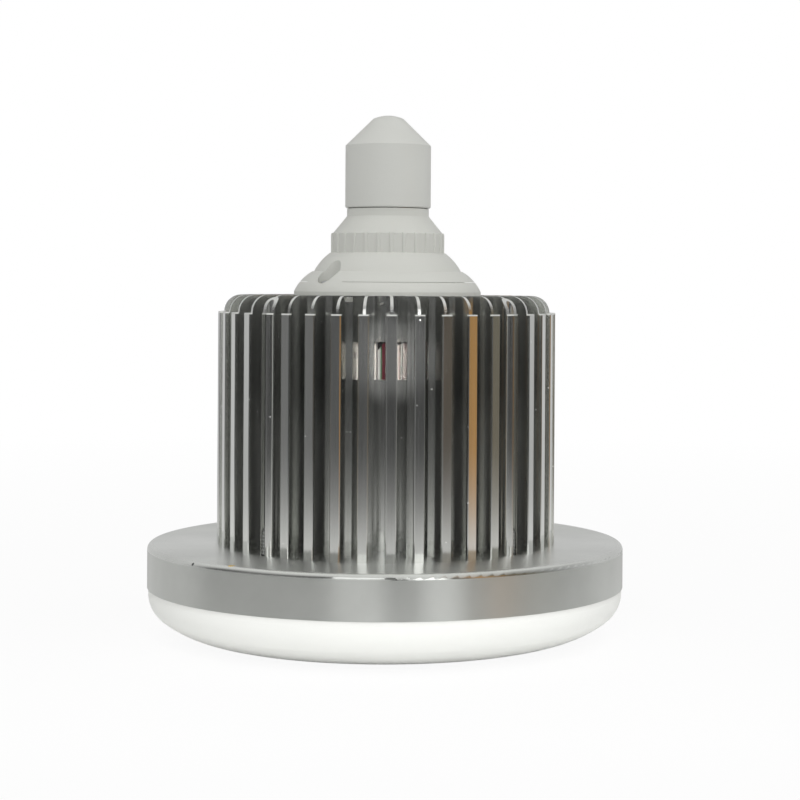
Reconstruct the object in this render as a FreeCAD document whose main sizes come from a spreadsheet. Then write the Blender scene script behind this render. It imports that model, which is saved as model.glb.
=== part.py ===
import FreeCAD, Part
import math
import os
from types import SimpleNamespace

import Sketcher

# Mushroom LED bulb: a screw base under a push-on cap, a plastic driver housing, a finned aluminium
# heat sink on a wide aluminium pan, and an opal dish below. It stands on the dish. The origin is
# the middle of the dish's flat bottom, +Z points to the screw base, and -Y is the front.
# Angles round the axis are counted from the front, positive towards +X.

SIZES = [
    # opal dish
    ("dish_step", 0.4, "dish inside the pan's outline"),
    ("dish_height", 17.0, "dish below the pan's rim"),
    ("dish_wall", 1.6, "wall of the dish"),
    ("dish_straight", 2.0, "upright band under the pan's rim"),
    ("dish_corner_width", 24.0, "inward reach of the rounded corner"),
    ("dish_corner_radius", 10.5, "tighter arc of the corner, beside the upright band"),
    ("collar_height", 8.0, "collar of the dish inside the pan's rim"),
    # mounting pan
    ("pan_radius", 82.0, "outside of the pan"),
    ("pan_depth", 14.7, "height of the pan's rim"),
    ("pan_wall", 1.5, "sheet of the pan"),
    ("pan_edge_radius", 1.9, "rounded top edge of the pan"),
    ("pan_hole_radius", 8.0, "hole for the lamp wires"),
    # heat sink
    ("sink_radius", 58.3, "over the T-shaped fin tips"),
    ("sink_height", 85.1, "length of the extrusion"),
    ("core_radius", 30.0, "outside of the core tube"),
    ("core_wall", 2.5, "wall of the core tube"),
    ("fin_count", 40, "fins round the core"),
    ("fin_wall", 1.0, "web of a fin"),
    ("tip_width", 3.4, "width of a fin tip and of the bar on its web"),
    ("tip_wall", 1.15, "thickness of a fin tip and of the bar on its web"),
    ("tip_bevel", 0.25, "bevel on the outer corners of a fin tip"),
    ("bar_radius", 45.3, "outer face of the bar on a fin's web"),
    ("shoulder_radius", 5.8, "turned round on the top outer end of the fins"),
    ("ledge_width", 2.0, "flat ledge outside the turned round"),
    ("front_angle", 1.5, "turn of the front fin"),
    ("port_radius", 2.7, "outside of a screw port at the end of a fin"),
    ("port_bore_radius", 1.3, "bore of every screw port in the extrusion"),
    ("port_mouth", 1.8, "outward slot of a screw port"),
    ("core_port_radius", 2.9, "outside of a screw port in the core"),
    ("window_height", 12.6, "height of the openings in the core"),
    ("window_width", 3.3, "width of each opening, between two fins"),
    ("window_base", 57.1, "lower edge of the openings over the foot of the heat sink"),
    # driver housing
    ("skirt_radius", 32.4, "foot of the lower dome"),
    ("skirt_straight", 1.2, "upright foot of the lower dome"),
    ("lower_dome_height", 8.2, "height of the lower dome"),
    ("lower_dome_top_radius", 26.0, "top of the lower dome"),
    ("lower_dome_arc", 15.0, "rounding of the lower dome"),
    ("upper_dome_foot_radius", 25.5, "foot of the upper dome"),
    ("upper_dome_height", 6.4, "height of the upper dome"),
    ("upper_dome_top_radius", 20.0, "top of the upper dome"),
    ("upper_dome_arc", 18.0, "rounding of the upper dome"),
    ("grip_radius", 19.7, "over the ribs of the grip band"),
    ("grip_height", 6.6, "height of the grip band"),
    ("rib_count", 27, "ribs of the grip band"),
    ("rib_height", 0.5, "rounded ribs over the grip band"),
    ("rib_width", 1.5, "width of a rib at its foot"),
    ("rib_rise", 0.3, "ribs over the foot of the cone"),
    ("rib_angle", 3.5, "turn of the first rib"),
    ("neck_radius", 14.2, "neck under the push-on cap"),
    ("cone_height", 6.15, "cone from the grip band to the neck"),
    ("neck_height", 2.55, "upright neck"),
    ("housing_wall", 2.0, "wall of the housing"),
    ("bay_radius", 22.0, "bore of the housing's foot"),
    ("bay_height", 9.0, "height of that bore"),
    ("relief_height", 4.6, "moulded relief in the foot"),
    ("relief_angle", 146.0, "sweep of each of the two reliefs"),
    ("screw_circle_radius", 26.9, "axis of the housing screws"),
    ("housing_screw_angle", -47.0, "turn of the first housing screw"),
    ("pocket_radius", 3.9, "well of a housing screw"),
    ("pocket_floor", 3.0, "plastic under the head of a housing screw"),
    ("spigot_height", 15.5, "spigot that carries the screw shell"),
    ("spigot_wall", 1.8, "wall of the spigot"),
    # screw base
    ("thread_radius", 13.15, "crest of the screw shell"),
    ("thread_depth", 0.95, "depth of its rolled thread"),
    ("thread_pitch", 3.62, "pitch of the thread"),
    ("thread_turns", 4, "turns on the shell"),
    ("shell_wall", 0.35, "metal of the screw shell"),
    ("shell_foot", 1.6, "plain foot of the shell"),
    ("shell_neck", 3.4, "plain cone over the thread"),
    ("shell_mouth_radius", 10.6, "top of the screw shell"),
    ("insulator_height", 4.4, "insulating cone over the shell"),
    ("insulator_step", 1.0, "shoulder of the insulator round its plug and the contact"),
    ("contact_radius", 5.0, "centre contact"),
    ("contact_height", 2.2, "centre contact over the insulator"),
    # push-on cap
    ("cap_radius", 14.85, "outside of the push-on cap"),
    ("cap_wall", 1.2, "wall of the cap"),
    ("cap_height", 32.15, "overall height of the cap"),
    ("cap_cone_angle", 44.5, "slope of the cap's cone"),
    ("cap_crown_radius", 5.3, "crown at the end of the cap's cone"),
    ("cap_crown_rise", 1.15, "rise of that crown"),
    ("cap_edge", 0.4, "bevel at the cap's rim"),
    ("cap_gap", 0.3, "gap between the cap's rim and the neck"),
    # lamp board
    ("lamp_board_radius", 62.0, "disc that carries the lamps"),
    ("lamp_board_wall", 1.6, "thickness of that disc"),
    ("lamp_board_hole_radius", 4.0, "wire hole in that disc"),
    ("lamp_length", 3.5, "lamp chip, round the axis"),
    ("lamp_width", 2.8, "lamp chip, across"),
    ("lamp_height", 0.7, "lamp chip, thickness"),
    ("lamp_first_ring", 14.3, "radius of the innermost ring of chips"),
    ("lamp_ring_step", 11.3, "step from one ring of chips to the next"),
    ("lamp_ring_count", 4, "rings of chips"),
    ("lamps_per_ring_step", 6, "chips that each ring adds"),
    # screws
    ("screw_head_radius", 2.8, "head of every screw"),
    ("screw_head_height", 2.0, "height of the head"),
    ("screw_crown_radius", 1.7, "flat crown of the head"),
    ("screw_rim_height", 1.1, "upright rim of the head"),
    ("screw_length", 12.5, "shank of a pan screw"),
    ("housing_screw_length", 10.0, "shank of a housing screw"),
    ("screw_hole_radius", 1.7, "clearance hole of every screw"),
    ("port_clearance", 0.05, "round a shank in its port"),
    # driver
    ("board_width", 38.0, "driver board, across"),
    ("board_reach", 6.9, "driver board over the top of the heat sink"),
    ("board_wall", 1.6, "driver board, thickness"),
    ("board_advance", 8.0, "front face of the board before the axis"),
    ("board_base", 6.0, "foot of the board over the pan"),
    ("rail_depth", 26.0, "rails of the housing down into the core"),
    ("rail_width", 5.2, "rail across the board's edge"),
    ("rail_bite", 1.4, "board's edge inside its rail"),
    ("rail_inset", 3.0, "rails inside the core's bore"),
    ("seat_gap", 0.15, "clearance between seated inner pieces"),
    ("can_crimp", 0.6, "depth of the crimp round a capacitor can"),
    ("can_edge", 0.5, "bevel at a can's ends"),
    ("capacitor_radius", 5.0, "smoothing capacitor"),
    ("capacitor_length", 20.0, "smoothing capacitor, upright"),
    ("capacitor_drop", 42.0, "foot of the smoothing capacitor under the board's top"),
    ("capacitor_side", -7.2, "smoothing capacitor beside the axis"),
    ("output_radius", 6.3, "output capacitor"),
    ("output_length", 25.0, "output capacitor, upright"),
    ("output_base", 12.0, "foot of the output capacitor over the pan"),
    ("output_side", 8.5, "output capacitor beside the axis"),
    ("film_width", 5.6, "film capacitor, across"),
    ("film_depth", 9.0, "film capacitor, off the board"),
    ("film_height", 17.0, "film capacitor, upright"),
    ("film_drop", 38.0, "foot of the film capacitor under the board's top"),
    ("film_side", 1.0, "film capacitor beside the axis"),
    ("film_round", 0.9, "round edges of the film capacitor"),
    ("transformer_width", 13.5, "transformer core, across"),
    ("transformer_height", 16.0, "transformer core, upright"),
    ("transformer_depth", 6.0, "stack of the transformer core"),
    ("transformer_drop", 37.0, "foot of the transformer under the board's top"),
    ("transformer_side", 11.25, "transformer beside the axis"),
    ("transformer_leg", 2.4, "outer leg and yoke of the core"),
    ("transformer_centre", 3.0, "centre leg of the core"),
    ("winding_gap", 0.3, "round the centre leg and inside the yokes"),
    ("winding_stand", 2.3, "winding in front of and behind the core"),
    ("choke_radius", 5.0, "ring choke, to the middle of its winding"),
    ("choke_section", 2.4, "radius of the wound ring"),
    ("choke_drop", 12.5, "middle of the choke under the board's top"),
    ("choke_side", -8.0, "choke beside the axis"),
    ("bridge_width", 6.5, "bridge rectifier, across"),
    ("bridge_height", 4.7, "bridge rectifier, upright"),
    ("bridge_depth", 1.6, "bridge rectifier, off the board"),
    ("bridge_drop", 16.0, "foot of the bridge rectifier under the board's top"),
    ("bridge_side", 7.0, "bridge rectifier beside the axis"),
    ("chip_width", 4.9, "control chip, across"),
    ("chip_height", 3.9, "control chip, upright"),
    ("chip_depth", 1.5, "control chip, off the board"),
    ("chip_drop", 51.0, "foot of the control chip under the board's top"),
    ("chip_side", -8.0, "control chip beside the axis"),
    ("fuse_radius", 2.0, "fusible resistor"),
    ("fuse_length", 10.0, "fusible resistor, across"),
    ("fuse_drop", 3.5, "fusible resistor under the board's top"),
    ("connector_width", 9.0, "wire connector, across"),
    ("connector_depth", 6.0, "wire connector, front to back"),
    ("connector_height", 4.2, "wire connector, under the lamp board"),
    ("connector_side", 10.5, "wire connector beside the axis"),
    ("wire_radius", 0.75, "every inner wire"),
]

doc = FreeCAD.newDocument("mushroom_bulb")
sheet = doc.addObject("Spreadsheet::Sheet", "Sizes")
subparts = []


class Size:
    """A number together with the sheet expression that gives it."""

    def __init__(self, value, text):
        self.value = value
        self.text = text

    def joined(self, sign, other, swap=False):
        other = sized(other)
        first, second = (other, self) if swap else (self, other)
        results = {
            "+": lambda a, b: a + b,
            "-": lambda a, b: a - b,
            "*": lambda a, b: a * b,
            "/": lambda a, b: a / b,
        }
        return Size(results[sign](first.value, second.value), f"({first.text} {sign} {second.text})")

    def __add__(self, other):
        return self.joined("+", other)

    def __radd__(self, other):
        return self.joined("+", other, swap=True)

    def __sub__(self, other):
        return self.joined("-", other)

    def __rsub__(self, other):
        return self.joined("-", other, swap=True)

    def __mul__(self, other):
        return self.joined("*", other)

    def __rmul__(self, other):
        return self.joined("*", other, swap=True)

    def __truediv__(self, other):
        return self.joined("/", other)

    def __neg__(self):
        return Size(-self.value, f"(-{self.text})")


def sized(number):
    return number if isinstance(number, Size) else Size(float(number), str(number))


def root(size):
    return Size(math.sqrt(size.value), f"sqrt({size.text})")


def sine(size):
    return Size(math.sin(math.radians(size.value)), f"sin({size.text})")


def cosine(size):
    return Size(math.cos(math.radians(size.value)), f"cos({size.text})")


def fill_sheet():
    """Write the driving sizes to the sheet and return them by name."""
    for row, (alias, number, note) in enumerate(SIZES, start=1):
        sheet.set(f"A{row}", note)
        sheet.set(f"B{row}", str(number))
        sheet.setAlias(f"B{row}", alias)
    doc.recompute()
    return SimpleNamespace(**{alias: Size(number, f"Sizes.{alias}") for alias, number, _ in SIZES})


S = fill_sheet()


def bind(item, **sizes):
    """Tie properties of an object to the sheet; a double underscore stands for a dot."""
    for name, size in sizes.items():
        item.setExpression(name.replace("__", "."), sized(size).text)


# Bodies, sketches and features


def new_body(name):
    body = doc.addObject("PartDesign::Body", name)
    body.Label = name
    subparts.append(body)
    return body


def new_sketch(body, name, plane="XY_Plane", height=0, turn=0):
    """A sketch on one of the body's own planes, raised along Z and turned about Z."""
    sketch = body.newObject("Sketcher::SketchObject", name)
    origin_plane = next(item for item in body.Origin.OriginFeatures if item.Role == plane)
    sketch.AttachmentSupport = [(origin_plane, "")]
    sketch.MapMode = "FlatFace"
    upright = plane != "XY_Plane"
    up = FreeCAD.Vector(0, 1, 0) if upright else FreeCAD.Vector(0, 0, 1)
    turn = sized(turn)
    sketch.AttachmentOffset = FreeCAD.Placement(
        up * sized(height).value, FreeCAD.Rotation(up, turn.value)
    )
    if turn.value:
        bind(sketch, AttachmentOffset__Rotation__Angle=turn)
    if isinstance(height, Size):
        if upright:
            bind(sketch, AttachmentOffset__Base__y=height)
        else:
            bind(sketch, AttachmentOffset__Base__z=height)
    return sketch


def place_point(sketch, item, point, x, y):
    """Hold one point of the sketch at x and y, each a size or zero."""
    for kind, axis, size in (("DistanceX", -2, sized(x)), ("DistanceY", -1, sized(y))):
        if size.value == 0:
            sketch.addConstraint(Sketcher.Constraint("PointOnObject", item, point, axis))
            continue
        index = sketch.addConstraint(Sketcher.Constraint(kind, -1, 1, item, point, size.value))
        sketch.setExpression(f"Constraints[{index}]", size.text)


def arc_between(start, end, radius, side):
    """The shorter arc from start to end that bulges left (1) or right (-1) of the way."""
    chord = end - start
    left = FreeCAD.Vector(-chord.y, chord.x, 0).normalize()
    drop = math.sqrt(radius ** 2 - (chord.Length / 2) ** 2)
    centre = (start + end) * 0.5 - left * (side * drop)
    first, last = (end, start) if side > 0 else (start, end)
    angles = [math.atan2(point.y - centre.y, point.x - centre.x) for point in (first, last)]
    circle = Part.Circle(centre, FreeCAD.Vector(0, 0, 1), radius)
    return Part.ArcOfCircle(circle, angles[0], angles[1])


def outline(sketch, corners):
    """Draw a closed chain; a corner is (x, y), or (x, y, radius, side) where an arc leaves it."""
    points = [FreeCAD.Vector(sized(x).value, sized(y).value, 0) for x, y, *_ in corners]
    ends = []
    for number, (x, y, *arc) in enumerate(corners):
        start = points[number]
        end = points[(number + 1) % len(points)]
        if arc:
            radius, side = arc
            item = sketch.addGeometry(arc_between(start, end, radius.value, side), False)
            index = sketch.addConstraint(Sketcher.Constraint("Radius", item, radius.value))
            sketch.setExpression(f"Constraints[{index}]", radius.text)
        else:
            side = -1
            item = sketch.addGeometry(Part.LineSegment(start, end), False)
        first, last = (2, 1) if side > 0 else (1, 2)
        place_point(sketch, item, first, x, y)
        ends.append((item, first, last))
    for number, (item, first, last) in enumerate(ends):
        following, following_first, _ = ends[(number + 1) % len(ends)]
        sketch.addConstraint(
            Sketcher.Constraint("Coincident", item, last, following, following_first)
        )


def circle(sketch, x, y, radius):
    centre = FreeCAD.Vector(sized(x).value, sized(y).value, 0)
    item = sketch.addGeometry(Part.Circle(centre, FreeCAD.Vector(0, 0, 1), radius.value), False)
    place_point(sketch, item, 3, x, y)
    index = sketch.addConstraint(Sketcher.Constraint("Radius", item, radius.value))
    sketch.setExpression(f"Constraints[{index}]", radius.text)


def box_corners(left, right, low, high):
    return [(left, low), (right, low), (right, high), (left, high)]


def lens_radius(half_width, rise):
    """Radius of an arc over a chord, from half the chord and the arc's rise."""
    return (half_width * half_width + rise * rise) / (2 * rise)


def revolved(body, name, corners, cut=False, angle=360, turn=0):
    """Turn an upright outline about the Z axis, as a solid or as a cut."""
    sketch = new_sketch(body, f"{name}_profile", "XZ_Plane", turn=turn)
    outline(sketch, corners)
    kind = "PartDesign::Groove" if cut else "PartDesign::Revolution"
    feature = body.newObject(kind, name)
    feature.Profile = sketch
    feature.ReferenceAxis = (sketch, ["V_Axis"])
    feature.Angle = sized(angle).value
    bind(feature, Angle=angle)
    return feature


def padded(body, name, sketch, length):
    feature = body.newObject("PartDesign::Pad", name)
    feature.Profile = sketch
    bind(feature, Length=length)
    return feature


def pocketed(body, name, sketch, length, reverse=True):
    """Cut along the sketch's normal, which is upward on a level sketch."""
    feature = body.newObject("PartDesign::Pocket", name)
    feature.Profile = sketch
    feature.Reversed = reverse
    bind(feature, Length=length)
    return feature


def patterned(body, name, originals, count, axis):
    """Repeat features evenly round an axis of a sketch."""
    pattern = body.newObject("PartDesign::PolarPattern", name)
    pattern.Originals = originals
    pattern.Axis = axis
    pattern.Angle = 360
    bind(pattern, Occurrences=count)
    body.Tip = pattern
    return pattern


def rounded(body, name, feature, radius, wanted=lambda edge: True):
    """Fillet the chosen edges of a feature."""
    doc.recompute()
    edges = [
        f"Edge{number}"
        for number, edge in enumerate(feature.Shape.Edges, start=1)
        if wanted(edge)
    ]
    fillet = body.newObject("PartDesign::Fillet", name)
    fillet.Base = (feature, edges)
    bind(fillet, Radius=radius)
    body.Tip = fillet
    return fillet


def shaped(name, shape):
    """A sub-part whose form comes straight from the sizes in code."""
    feature = doc.addObject("Part::Feature", name)
    feature.Label = name
    feature.Shape = shape
    subparts.append(feature)
    return feature


# Levels and radii that several pieces share

pan_top = S.dish_height + S.pan_depth
pan_bore_radius = S.pan_radius - S.pan_wall
dish_radius = S.pan_radius - S.dish_step
sink_top = pan_top + S.sink_height
core_bore_radius = S.core_radius - S.core_wall
port_circle_radius = S.sink_radius - S.port_radius
port_angle = S.front_angle + 45
fin_pitch = sized(360) / S.fin_count
fin_root = S.core_wall / 2 - S.core_radius
shoulder_end = S.sink_radius - S.ledge_width
shoulder_start = shoulder_end - S.shoulder_radius
ledge = sink_top - S.shoulder_radius
lamp_board_top = pan_top - S.pan_wall
lamp_board_bottom = lamp_board_top - S.lamp_board_wall
grip_base = sink_top + S.lower_dome_height + S.upper_dome_height
grip_top = grip_base + S.grip_height
neck_base = grip_top + S.cone_height
neck_top = neck_base + S.neck_height
thread_root_radius = S.thread_radius - S.thread_depth
spigot_radius = thread_root_radius - S.shell_wall - S.seat_gap
shell_base = neck_top + S.seat_gap
thread_base = shell_base + S.shell_foot
thread_top = thread_base + S.thread_pitch * S.thread_turns
shell_top = thread_top + S.shell_neck
insulator_top = shell_top + S.insulator_height
contact_top = insulator_top + S.contact_height
cap_base = neck_top + S.cap_gap
cap_top = cap_base + S.cap_height
board_front = -S.board_advance
board_foot = pan_top + S.board_base
board_top = sink_top + S.board_reach
board_height = board_top - board_foot


def make_diffuser():
    """Opal dish: flat bottom, a corner of two tangent arcs, and a collar inside the pan's rim."""
    body = new_body("diffuser")
    corner_height = S.dish_height - S.dish_straight
    reach = S.dish_corner_width - S.dish_corner_radius
    wide_arc = (
        reach * reach + corner_height * corner_height - S.dish_corner_radius * S.dish_corner_radius
    ) / (2 * corner_height - 2 * S.dish_corner_radius)
    flat_radius = dish_radius - S.dish_corner_width
    between = wide_arc - S.dish_corner_radius
    across = reach / between
    down = (wide_arc - corner_height) / between
    join_radius = flat_radius + across * wide_arc
    join_height = wide_arc - down * wide_arc
    inner_wide = wide_arc - S.dish_wall
    inner_tight = S.dish_corner_radius - S.dish_wall
    collar_radius = pan_bore_radius - S.seat_gap
    collar_bore = collar_radius - S.dish_wall
    collar_top = S.dish_height + S.collar_height
    revolved(body, "dish", [
        (0, 0),
        (flat_radius, 0, wide_arc, -1),
        (join_radius, join_height, S.dish_corner_radius, -1),
        (dish_radius, corner_height),
        (dish_radius, S.dish_height),
        (collar_radius, S.dish_height),
        (collar_radius, collar_top),
        (collar_bore, collar_top),
        (collar_bore, S.dish_height),
        (dish_radius - S.dish_wall, corner_height, inner_tight, 1),
        (join_radius - across * S.dish_wall, join_height + down * S.dish_wall, inner_wide, 1),
        (flat_radius, S.dish_wall),
        (0, S.dish_wall),
    ])


def make_mounting_pan():
    """Spun aluminium pan with a rounded edge, four screw holes and a wire hole."""
    body = new_body("mounting_pan")
    inner_edge = S.pan_edge_radius - S.pan_wall
    under = pan_top - S.pan_wall
    revolved(body, "pan", [
        (S.pan_hole_radius, under),
        (pan_bore_radius - inner_edge, under, inner_edge, 1),
        (pan_bore_radius, under - inner_edge),
        (pan_bore_radius, S.dish_height),
        (S.pan_radius, S.dish_height),
        (S.pan_radius, pan_top - S.pan_edge_radius, S.pan_edge_radius, -1),
        (S.pan_radius - S.pan_edge_radius, pan_top),
        (S.pan_hole_radius, pan_top),
    ])
    sketch = new_sketch(body, "screw_hole_plan", height=under, turn=port_angle)
    circle(sketch, 0, -port_circle_radius, S.screw_hole_radius)
    hole = pocketed(body, "screw_hole", sketch, S.pan_wall)
    patterned(body, "screw_holes", [hole], 4, (sketch, ["N_Axis"]))


def mirrored(corners):
    """Complete a half outline, drawn at positive x, with its mirror image."""
    return corners + [(-x, y) for x, y in reversed(corners)]


def make_core(body):
    """Core tube with the two inner screw ports of the housing screws."""
    sketch = new_sketch(body, "core_plan", height=pan_top)
    circle(sketch, 0, 0, S.core_radius)
    circle(sketch, 0, 0, core_bore_radius)
    padded(body, "core", sketch, S.sink_height)
    sketch = new_sketch(body, "core_port_plan", height=pan_top, turn=S.housing_screw_angle)
    circle(sketch, 0, -S.screw_circle_radius, S.core_port_radius)
    port = padded(body, "core_port", sketch, S.sink_height)
    sketch = new_sketch(body, "core_port_bore_plan", height=pan_top, turn=S.housing_screw_angle)
    circle(sketch, 0, -S.screw_circle_radius, S.port_bore_radius)
    bore = pocketed(body, "core_port_bore", sketch, S.sink_height)
    patterned(body, "core_ports", [port, bore], 2, (sketch, ["N_Axis"]))


def make_ports(body):
    """Four fins end in a screw port that is open outward; all turned round at the top."""
    web = S.fin_wall / 2
    sketch = new_sketch(body, "port_web_plan", height=pan_top, turn=port_angle)
    outline(sketch, box_corners(-web, web, -port_circle_radius, fin_root))
    port_web = padded(body, "port_web", sketch, S.sink_height)
    sketch = new_sketch(body, "port_plan", height=pan_top, turn=port_angle)
    circle(sketch, 0, -port_circle_radius, S.port_radius)
    port = padded(body, "port", sketch, S.sink_height)
    sketch = new_sketch(body, "port_bore_plan", height=pan_top, turn=port_angle)
    circle(sketch, 0, -port_circle_radius, S.port_bore_radius)
    bore = pocketed(body, "port_bore", sketch, S.sink_height)
    sketch = new_sketch(body, "port_mouth_plan", height=pan_top, turn=port_angle)
    half = S.port_mouth / 2
    outline(sketch, box_corners(-half, half, -S.sink_radius - half, -port_circle_radius))
    mouth = pocketed(body, "port_mouth", sketch, S.sink_height)
    patterned(body, "ports", [port_web, port, bore, mouth], 4, (sketch, ["N_Axis"]))
    above = sink_top + S.tip_wall
    beyond = S.sink_radius + S.tip_wall
    revolved(body, "shoulder", [
        (shoulder_start, sink_top, S.shoulder_radius, 1),
        (shoulder_end, ledge),
        (beyond, ledge),
        (beyond, above),
        (shoulder_start, above),
    ], cut=True)


def make_windows(body):
    """Openings in the core, one in each of the four gaps nearest the front."""
    low = pan_top + S.window_base
    half = S.window_width / 2
    for number, steps in enumerate((-1.5, -0.5, 0.5, 1.5)):
        turn = S.front_angle + fin_pitch * steps
        sketch = new_sketch(body, f"window_{number}_plan", "XZ_Plane", turn=turn)
        outline(sketch, box_corners(-half, half, low, low + S.window_height))
        pocketed(body, f"window_{number}", sketch, S.core_radius + S.core_wall)


def make_fins(body):
    """T-tipped fins with a bar on the web, between the four that end in a port."""
    turn = port_angle + fin_pitch
    web_end = S.tip_bevel - S.sink_radius
    side = new_sketch(body, "web_side", "YZ_Plane", turn=turn)
    outline(side, [
        (fin_root, pan_top),
        (fin_root, sink_top),
        (-shoulder_start, sink_top, S.shoulder_radius, -1),
        (-shoulder_end, ledge),
        (web_end, ledge),
        (web_end, pan_top),
    ])
    web = padded(body, "web", side, S.fin_wall)
    web.Midplane = True
    half = S.tip_width / 2
    plan = new_sketch(body, "bar_plan", height=pan_top, turn=turn)
    outline(plan, box_corners(-half, half, -S.bar_radius, S.tip_wall - S.bar_radius))
    bar = padded(body, "bar", plan, S.sink_height)
    plan = new_sketch(body, "tip_plan", height=pan_top, turn=turn)
    outline(plan, mirrored([
        (half, S.tip_wall - S.sink_radius),
        (half, S.tip_bevel - S.sink_radius),
        (half - S.tip_bevel, -S.sink_radius),
    ]))
    tip = padded(body, "tip", plan, S.sink_height - S.shoulder_radius)

    between = S.fin_count / 4 - 1
    row = doc.addObject("PartDesign::PolarPattern", "fins_between_ports")
    row.Axis = (plan, ["N_Axis"])
    bind(row, Angle=fin_pitch * (between - 1), Occurrences=between)
    quarters = doc.addObject("PartDesign::PolarPattern", "four_quarters")
    quarters.Axis = (plan, ["N_Axis"])
    quarters.Angle = 360
    quarters.Occurrences = 4
    fins = body.newObject("PartDesign::MultiTransform", "fins")
    fins.Originals = [web, bar, tip]
    fins.Transformations = [row, quarters]
    body.Tip = fins


def make_heat_sink():
    """One aluminium extrusion, turned at the shoulder and opened at the front of its core."""
    body = new_body("heat_sink")
    make_core(body)
    make_ports(body)
    make_windows(body)
    make_fins(body)


def make_driver_housing():
    """One moulding: two domes, ribbed grip band, cone, neck and the spigot of the screw base."""
    body = new_body("driver_housing")
    crease = sink_top + S.lower_dome_height
    spigot_top = neck_top + S.spigot_height
    spigot_bore = spigot_radius - S.spigot_wall
    bay_top = sink_top + S.bay_height
    band_radius = S.grip_radius - S.rib_height
    band_bore = band_radius - S.housing_wall
    revolved(body, "shell", [
        (S.bay_radius, sink_top),
        (S.skirt_radius, sink_top),
        (S.skirt_radius, sink_top + S.skirt_straight, S.lower_dome_arc, -1),
        (S.lower_dome_top_radius, crease),
        (S.upper_dome_foot_radius, crease, S.upper_dome_arc, -1),
        (S.upper_dome_top_radius, grip_base),
        (band_radius, grip_base),
        (band_radius, grip_top),
        (S.neck_radius, neck_base),
        (S.neck_radius, neck_top),
        (spigot_radius, neck_top),
        (spigot_radius, spigot_top),
        (spigot_bore, spigot_top),
        (spigot_bore, neck_base),
        (band_bore, grip_top),
        (band_bore, grip_base),
        (S.bay_radius, bay_top),
    ])

    sketch = new_sketch(body, "rib_plan", height=grip_base, turn=S.rib_angle)
    half = S.rib_width / 2
    rib_foot = S.rib_height - band_radius
    outline(sketch, [
        (half, rib_foot),
        (half, -band_radius, lens_radius(half, S.rib_height), -1),
        (-half, -band_radius),
        (-half, rib_foot),
    ])
    rib = padded(body, "rib", sketch, S.grip_height + S.rib_rise)
    patterned(body, "ribs", [rib], S.rib_count, (sketch, ["N_Axis"]))

    # Moulded reliefs leave solid lands for the two screws
    relief_turn = S.housing_screw_angle + 90
    relief = revolved(body, "relief", [
        (S.bay_radius + S.housing_wall, sink_top),
        (S.skirt_radius - S.housing_wall, sink_top),
        (S.skirt_radius - S.housing_wall, sink_top + S.relief_height),
        (S.bay_radius + S.housing_wall, sink_top + S.relief_height),
    ], cut=True, angle=S.relief_angle, turn=relief_turn - 90)
    relief.Midplane = True
    sketch = relief.Profile[0]
    patterned(body, "reliefs", [relief], 2, (sketch, ["V_Axis"]))

    wells = []
    sketch = new_sketch(
        body, "well_plan", height=sink_top + S.pocket_floor, turn=S.housing_screw_angle
    )
    circle(sketch, 0, -S.screw_circle_radius, S.pocket_radius)
    well_height = S.lower_dome_height + S.upper_dome_height
    wells.append(pocketed(body, "well", sketch, well_height))
    sketch = new_sketch(body, "well_hole_plan", height=sink_top, turn=S.housing_screw_angle)
    circle(sketch, 0, -S.screw_circle_radius, S.screw_hole_radius)
    wells.append(pocketed(body, "well_hole", sketch, S.pocket_floor))
    patterned(body, "wells", wells, 2, (sketch, ["N_Axis"]))

    # Two slotted rails hold the edges of the driver board
    inner = S.board_width / 2 - S.rail_bite
    rail_middle = board_front + S.board_wall / 2
    rail_half = S.rail_width / 2
    slot_half = S.board_wall / 2 + S.seat_gap
    slot_end = S.board_width / 2 + S.seat_gap
    bore_half = root(core_bore_radius * core_bore_radius - S.board_advance * S.board_advance)
    outer = bore_half - S.rail_inset
    for name, side in (("left", -1), ("right", 1)):
        sketch = new_sketch(body, f"{name}_rail_plan", height=sink_top - S.rail_depth)
        outline(sketch, [
            (side * inner, rail_middle - rail_half),
            (side * outer, rail_middle - rail_half),
            (side * outer, rail_middle + rail_half),
            (side * inner, rail_middle + rail_half),
            (side * inner, rail_middle + slot_half),
            (side * slot_end, rail_middle + slot_half),
            (side * slot_end, rail_middle - slot_half),
            (side * inner, rail_middle - slot_half),
        ])
        rail = padded(body, f"{name}_rail", sketch, S.rail_depth + S.relief_height)
        body.Tip = rail


def make_base_cap():
    """Push-on cap over the screw base: a tube with a cone and a low crown."""
    body = new_body("base_cap")
    tangent = sine(S.cap_cone_angle) / cosine(S.cap_cone_angle)
    bore = S.cap_radius - S.cap_wall
    crown = S.cap_crown_radius
    rise = S.cap_crown_rise
    crown_base = cap_top - rise
    cone_base = crown_base - (S.cap_radius - crown) * tangent
    inner_crown = crown - S.cap_wall / 2
    inner_cone_drop = S.cap_wall / cosine(S.cap_cone_angle)
    inner_crown_base = crown_base + (crown - inner_crown) * tangent - inner_cone_drop
    inner_rise = cap_top - S.cap_wall - inner_crown_base
    inner_cone_base = inner_crown_base - (bore - inner_crown) * tangent
    revolved(body, "cap", [
        (bore, cap_base),
        (S.cap_radius - S.cap_edge, cap_base),
        (S.cap_radius, cap_base + S.cap_edge),
        (S.cap_radius, cone_base),
        (crown, crown_base, lens_radius(crown, rise), -1),
        (0, cap_top),
        (0, cap_top - S.cap_wall, lens_radius(inner_crown, inner_rise), 1),
        (inner_crown, inner_crown_base),
        (bore, inner_cone_base),
    ])


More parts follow.
